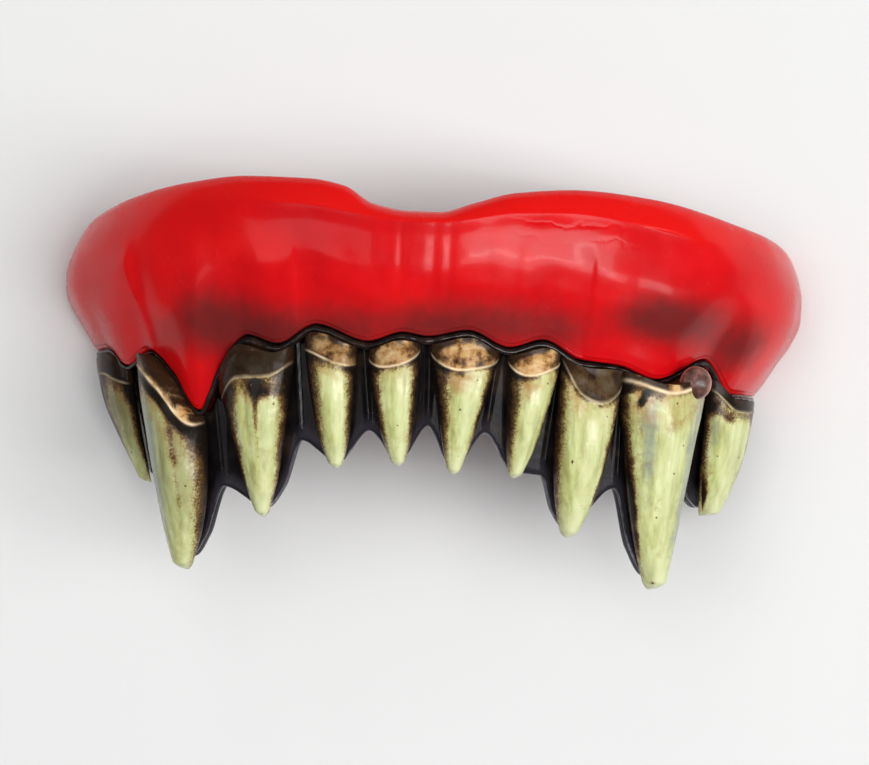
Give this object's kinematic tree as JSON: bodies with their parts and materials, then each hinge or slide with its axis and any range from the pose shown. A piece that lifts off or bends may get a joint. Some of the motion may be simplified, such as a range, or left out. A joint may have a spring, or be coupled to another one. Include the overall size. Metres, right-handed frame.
{
  "type": "costume teeth",
  "caption": "Snap-in upper costume teeth: a glossy red gum plate curved round the arch, over a smoky clear strip that carries uneven stained fangs.",
  "frame": {"origin": "middle of the part's box in x and y, on the surface that it lies on", "axes": "+X across the mouth to the right of the picture, +Y from the tooth tips to the gum's rim, +Z from the rear ends to the front teeth"},
  "size_m": [0.0656, 0.0342, 0.0246],
  "materials": {
    "red_gum": "wet-looking translucent red, darkened with brown airbrushing over the gum line",
    "smoked_strip": "clear strip painted smoky black, glossy",
    "stained_ivory": "yellowed ivory with brown stains at the necks and in the grooves, glossy"
  },
  "bodies": {
    "root": {"gum_plate": "red_gum", "tooth_strip": "smoked_strip", "left_tooth_5": "stained_ivory", "left_tooth_4": "stained_ivory", "left_tooth_3": "stained_ivory", "left_tooth_2": "stained_ivory", "left_tooth_1": "stained_ivory", "right_tooth_1": "stained_ivory", "right_tooth_2": "stained_ivory", "right_tooth_3": "stained_ivory", "right_tooth_4": "stained_ivory", "right_tooth_5": "stained_ivory"}
  },
  "joints": []
}
